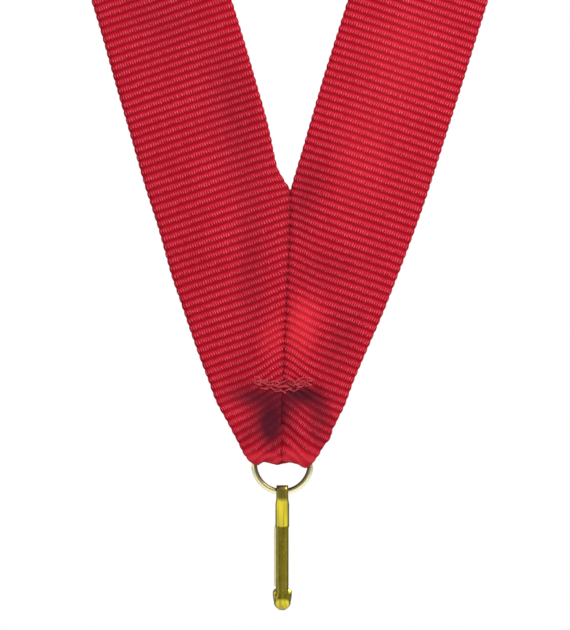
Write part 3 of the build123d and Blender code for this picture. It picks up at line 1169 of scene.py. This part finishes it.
# ---------------------------------------------------------------- jump ring
@dataclass
class JumpRing:
    """A ring of round wire, cut at its top inside the tab."""

    places: Places
    cut: float = 0.15 * MM
    around: int = 180
    section: int = 24

    def build(self, metal: bpy.types.Material) -> bpy.types.Object:
        """Makes the ring, with its wire drawn in a little at the cut."""
        radius, wire = self.places.ring_radius, self.places.wire_radius
        gap = self.cut / radius
        rings = []
        turns = [gap / 2 + (math.tau - gap) * i / self.around for i in range(self.around + 1)]
        sizes = [1.0] * len(turns)
        for i, size in enumerate((0.72, 0.9, 0.98)):
            sizes[i], sizes[-1 - i] = size, size
        for turn, size in zip(turns, sizes):
            out = Vector((math.sin(turn), 0, math.cos(turn)))
            centre = self.places.ring + out * radius
            rings.append([
                centre + (out * math.cos(a) + Vector((0, 1, 0)) * math.sin(a)) * wire * size
                for a in (math.tau * k / self.section for k in range(self.section))
            ])
        piece = new_piece("jump_ring_wire", swept("jump_ring_wire", rings))
        centre = self.places.ring

        def inside(place: Vector, normal: Vector) -> float:
            """Painted shade: 1 on the side of the wire that faces the ring's middle."""
            inward = normal.dot((centre - place).normalized())
            return clamped((inward + 0.12) / 0.22)

        # The ring's inner side gets painted shade
        shaded(piece.data, inside)
        return placed(piece, "ring", "jump_ring", metal)


# ---------------------------------------------------------------- hook and gate
@dataclass
class StripBar:
    """A bar bent from crowned strip, drawn from the side and swept.

    Attributes:
        name: of the piece.
        path: its middle line, as (backwards, upwards) in metres from the wire.
        width: the strip's width by share of the path.
        thick: the strip's thickness by share of the path.
        square: how square its section is; 2 is an ellipse.
        shift: how far it stands to one side.
    """

    name: str
    path: list[Vector]
    width: Callable[[float], float]
    thick: Callable[[float], float]
    square: float = 3.0
    shift: float = 0.0
    section: int = 40

    def mesh(self, origin: Vector) -> bpy.types.Mesh:
        """Sweeps the section along the path."""
        runs = runs_along(self.path)
        total, rings = runs[-1], []
        last = len(self.path) - 1
        for i, (point, run) in enumerate(zip(self.path, runs)):
            ahead = (self.path[min(i + 1, last)] - self.path[max(i - 1, 0)]).normalized()
            normal = Vector((-ahead.y, ahead.x))
            half_w, half_t = self.width(run / total) / 2, self.thick(run / total) / 2
            ring = []
            for k in range(self.section):
                a = math.tau * k / self.section
                c, s = math.cos(a), math.sin(a)
                across = math.copysign(abs(c) ** (2 / self.square), c) * half_w
                up = math.copysign(abs(s) ** (2 / self.square), s) * half_t
                flat = point + normal * up
                ring.append(origin + Vector((self.shift + across, flat.x, flat.y)))
            rings.append(ring)
        return swept(self.name, rings)


def rounded_end(share: float, start: float) -> float:
    """How wide a round-ended strip still is: 1 up to start, then a quarter circle to 0."""
    t = max(0.0, (share - start) / (1 - start))
    return math.sqrt(max(0.0004, 1 - t * t))


@dataclass
class Hook:
    """The strip hook and its spring gate, measured from the ring's wire, in metres."""

    places: Places
    thickness: float = 0.70 * MM
    width: float = 2.0 * MM
    shoulder_width: float = 2.25 * MM
    tip_width: float = 3.1 * MM
    bowl_width: float = 2.7 * MM
    eye_radius: float = 1.0 * MM
    eye_lift: float = 0.06 * MM
    crown_height: float = 1.08 * MM
    shank_set: float = 1.75 * MM
    kink_drop: float = 5.75 * MM
    bowl_radius: float = 1.6 * MM
    drop: float = 18.95 * MM
    tip_drop: float = 15.6 * MM
    tip_flare: float = 0.3 * MM
    step: float = 0.09 * MM

    def _body_path(self) -> list[Vector]:
        """The hook's middle line from the eye's tail to the tip."""
        top = self.eye_lift + self.eye_radius
        middle = (self.bowl_radius - self.shank_set, self.bowl_radius - self.drop)
        back = middle[0] + self.bowl_radius
        corners = [
            (-0.17 * MM, -3.2 * MM), (0.02 * MM, -1.75 * MM), (self.eye_radius, -0.9 * MM),
            (self.eye_radius, top), (-0.93 * MM, top), (-self.shank_set, -self.kink_drop),
            (-self.shank_set, middle[1]),
        ]
        path = filleted(corners, [0.8 * MM, 0.8 * MM, 1.0 * MM, 0.94 * MM, 2.0 * MM], self.step)
        bowl = [
            Vector((middle[0] - self.bowl_radius * math.cos(a), middle[1] - self.bowl_radius * math.sin(a)))
            for a in (math.pi * i / 56 for i in range(1, 57))
        ]
        tip = filleted(
            [(back, middle[1]), (back, -self.tip_drop - 1.0 * MM), (back + self.tip_flare, -self.tip_drop)],
            [0.6 * MM], self.step,
        )
        return path + bowl + tip[1:]

    def body(self, metal: bpy.types.Material) -> bpy.types.Object:
        """The hook: eye, sloping shoulder, straight shank, round bowl and spoon-shaped tip."""
        path = self._body_path()
        lengths = runs_along(path)
        total = lengths[-1]

        def share_at(test: Callable[[Vector], bool]) -> float:
            """The share of the path where a test first holds, after the eye."""
            half = len(path) // 4
            index = next(i for i in range(half, len(path)) if test(path[i]))
            return lengths[index] / total

        shoulder_start = share_at(lambda p: p.x < 0 and p.y < -1.6 * MM)
        shoulder_end = share_at(lambda p: p.x < 0 and p.y < -self.kink_drop + 0.1 * MM)
        bowl_start = share_at(lambda p: p.x < 0 and p.y < -16.4 * MM)
        bowl_swell = share_at(lambda p: p.x < 0 and p.y < -18.0 * MM)
        bowl_bottom = share_at(lambda p: p.y < self.bowl_radius * 0.002 - self.drop + 0.004 * MM)
        spoon = share_at(lambda p: p.x > 0.9 * MM and p.y > -18.2 * MM)
        flick = 0.5 * MM / total

        def width(share: float) -> float:
            """The strip's width along the hook."""
            stops = [
                (0.0, self.width * 0.9), (shoulder_start - flick, self.width),
                (shoulder_start + flick, self.shoulder_width),
                (shoulder_end - flick * 0.5, self.shoulder_width),
                (shoulder_end + flick * 0.5, self.width), (bowl_start, self.width),
                (bowl_swell, self.bowl_width), (bowl_bottom, self.width * 0.62),
                (spoon, self.bowl_width), (0.965, self.tip_width), (1.0, self.tip_width),
            ]
            return eased(stops, share) * rounded_end(share, 0.972) * rounded_end(1 - share, 0.985)

        def thick(share: float) -> float:
            """The strip's thickness, drawn out thinner at the spoon."""
            stops = [(0.0, self.thickness), (spoon, self.thickness), (1.0, self.thickness * 0.72)]
            tip = 0.35 + 0.65 * rounded_end(share, 0.985)
            tail = 0.35 + 0.65 * rounded_end(1 - share, 0.99)
            return eased(stops, share) * tip * tail

        bar = StripBar("strip_hook", path, width, thick)
        mesh = bar.mesh(self.places.wire_bottom)
        limit = self.places.wire_bottom.z + self.crown_height
        for vert in mesh.vertices:
            over = vert.co.z - limit
            if over > 0:
                vert.co.z = limit + over * 0.06
        wire_z, foot_z = self.places.wire_bottom.z, self.places.wire_bottom.z - self.drop

        def hook_painted_shade(place: Vector, normal: Vector) -> float:
            """Painted shade on the cut edges, under the eye's bend, along the shank and round the bowl's
            foot.
            """
            edge = clamped((abs(normal.x) - 0.16) / 0.22)
            shank = 0.30 if wire_z - self.kink_drop > place.z > foot_z + 2.4 * MM else 0.0
            bend = clamped((place.z - wire_z + 1.6 * MM) / (0.7 * MM))
            low = place.z < foot_z + 1.0 * MM
            foot = clamped((-normal.z - 0.80) / 0.15) if low else 0.0
            return max(edge, 0.92 * bend, 0.8 * foot, shank)

        # The hook's painted shade, stored for its plating
        shaded(mesh, hook_painted_shade)
        return placed(new_piece("strip_hook", mesh), "hook", "hook_body", metal)

    def gate(self, metal: bpy.types.Material) -> bpy.types.Object:
        """The leaf spring that closes the hook, from under the eye's tail to inside the tip."""
        slope = (self.shank_set - self.eye_radius) / self.kink_drop
        leaf, root_top, root_end = 0.25 * MM, 2.3 * MM, 3.3 * MM
        behind = self.thickness / 2 + 0.1 * MM + leaf / 2
        corners = [
            (-self.eye_radius - slope * root_top + behind, -root_top),
            (-self.eye_radius - slope * root_end + behind, -root_end),
            (1.0 * MM, -15.9 * MM),
        ]
        widths = [(0.0, 1.9 * MM), (0.19, 1.9 * MM), (0.26, 2.4 * MM)]
        path = filleted(corners, [2.0 * MM], self.step * 2)
        bar = StripBar(
            "gate_spring", path,
            lambda share: eased(widths, share) * rounded_end(share, 0.95),
            lambda share: leaf,
            square=6.0, shift=-0.15 * MM, section=24,
        )
        leaf_mesh = bar.mesh(self.places.wire_bottom)
        shaded(leaf_mesh, lambda place, normal: 0.0)
        piece = new_piece("gate_spring", leaf_mesh)
        return placed(piece, "gate", "gate_leaf", metal)


# ---------------------------------------------------------------- studio
@dataclass
class Studio:
    """A pale floor far below the hanging part, soft light and the camera."""

    loop: WornLoop
    places: Places
    frame_height: float = 102.6 * MM
    distance: float = 0.9
    floor_drop: float = 0.20

    def camera(self) -> None:
        """A long lens square on to the sewn point."""
        data = bpy.data.cameras.new("front_camera")
        data.sensor_width = 36.0
        data.lens = data.sensor_width * self.distance / self.frame_height
        data.clip_start, data.clip_end = 0.05, 30.0
        camera = bpy.data.objects.new("front_camera", data)
        bpy.context.scene.collection.objects.link(camera)
        aim = Vector((0.44 * MM, self.loop.apex.y, self.loop.notch_z - 20.4 * MM))
        camera.location = aim + Vector((0, -self.distance, 0))
        camera.rotation_euler = (math.radians(90), 0, 0)
        bpy.context.scene.camera = camera

    def floor(self) -> None:
        """A plain pale floor."""
        shape = bmesh.new()
        bmesh.ops.create_circle(shape, cap_ends=True, segments=96, radius=2.2)
        mesh = bpy.data.meshes.new("floor")
        shape.to_mesh(mesh)
        shape.free()
        floor = bpy.data.objects.new("floor", mesh)
        floor.location = (0, 0, CAD_LOW[2] - self.floor_drop)
        bpy.context.scene.collection.objects.link(floor)
        _, shader = surface("pale_floor")
        shader.inputs["Base Color"].default_value = (0.93, 0.93, 0.94, 1)
        shader.inputs["Roughness"].default_value = 0.9
        mesh.materials.append(bpy.data.materials["pale_floor"])
        floor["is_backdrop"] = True

    def light(self, name: str, at: Vector, size: float, watts: float) -> None:
        """One square soft light aimed at the sewn point."""
        data = bpy.data.lights.new(name, "AREA")
        data.shape, data.size, data.energy = "SQUARE", size, watts
        lamp = bpy.data.objects.new(name, data)
        target = self.places.ring + Vector((0, 0, 0.03))
        lamp.location = target + at
        lamp.rotation_euler = (-at).to_track_quat("-Z", "Y").to_euler()
        bpy.context.scene.collection.objects.link(lamp)

    def world(self) -> None:
        """White behind the part, with a dark band at eye level for the metal to reflect."""
        world = bpy.data.worlds.new("studio")
        bpy.context.scene.world = world
        world.use_nodes = True
        tree = Tree(world.node_tree)
        back = world.node_tree.nodes["Background"]
        back.inputs["Color"].default_value = (1, 1, 1, 1)
        way = tree.add("ShaderNodeTexCoord")
        split = tree.add("ShaderNodeSeparateXYZ")
        tree.join(way.outputs["Generated"], split.inputs[0])
        ramp = tree.add("ShaderNodeValToRGB")
        tree.join(tree.between(split.outputs[2], -1, 1, 0, 1), ramp.inputs[0])
        stops = (
            (0.0, 0.12), (0.16, 0.15), (0.30, 0.85), (0.44, 0.75), (0.475, 0.10), (0.545, 0.10),
            (0.59, 0.95), (0.75, 0.8), (0.86, 0.12), (1.0, 0.12),
        )
        ramp.color_ramp.elements.remove(ramp.color_ramp.elements[0])
        for index, (place, value) in enumerate(stops):
            stop = ramp.color_ramp.elements[0] if index == 0 else ramp.color_ramp.elements.new(place)
            stop.position, stop.color = place, (value, value, value, 1)
        beside = tree.between(split.outputs[1], -0.44, -0.16, 0.0, 1.0)
        steep = tree.between(tree.math("ABSOLUTE", split.outputs[2]), 0.3, 0.6, 1.0, 0.2)
        level = tree.math("MULTIPLY", beside, steep)
        around = tree.mix(level, ramp.outputs[0], (1.06, 1.06, 1.06, 1))
        seen = tree.add("ShaderNodeLightPath")
        tree.join(tree.mix(seen.outputs["Is Camera Ray"], around, (1, 1, 1, 1)), back.inputs["Color"])

    def build(self) -> None:
        """Sets up the camera, the floor and the lights."""
        self.camera()
        self.floor()
        self.world()
        self.light("key", Vector((0.26, -0.40, 0.44)), 0.14, 3.0)
        self.light("fill", Vector((-0.40, -0.50, 0.05)), 0.35, 0.30)
        self.light("back", Vector((0.10, 0.50, 0.30)), 0.40, 1.0)
        bpy.context.scene.view_settings.view_transform = "Standard"


def main() -> None:
    """Builds the medal's neck ribbon, its ring and its hook."""
    logging.basicConfig(level=logging.INFO, format="%(name)s %(message)s")
    places = Places.read()
    loop = WornLoop(places)
    Studio(loop, places).build()
    weave, plating = Weave(), Plating()
    cloth, thread = RibbonCloth().build(weave), Thread().build()
    loop.build(cloth)

    stitcher = Stitcher()
    layers = loop.pieces[:2]
    tack = Vector((0.25 * MM, loop.apex.y, places.tack_z - 0.2 * MM))
    stitcher.sew(
        StitchPlan("bar_tack_needle_thread", "tack_needle_thread", tack, 9, 4, 1.02 * MM, 0.48 * MM,
                   1.45 * MM, 50.0, False, 1.0, 5, radius=0.115 * MM), thread, layers,
    )
    stitcher.sew(
        StitchPlan("bar_tack_bobbin_thread", "tack_bobbin_thread", tack, 8, 5, 1.15 * MM, 0.42 * MM,
                   1.6 * MM, 100.0, False, -1.0, 9, radius=0.13 * MM), thread, layers,
    )
    seam_low, seam_high = (Vector(corner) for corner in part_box("mitre_seam_thread"))
    stitcher.sew(
        StitchPlan("mitre_seam_stitches", "mitre_seam_thread", (seam_low + seam_high) / 2, 9, 1,
                   2.5 * MM, 1.0 * MM, 2.0 * MM, 0.0, True, -1.0, 3, slack=0.08 * MM), thread,
    )

    JumpRing(places).build(RING_GOLD.build(plating))
    hook = Hook(places)
    hook.body(HOOK_GOLD.build(plating))
    hook.gate(GATE_GOLD.build(plating))


if __name__ == "__main__":
    main()
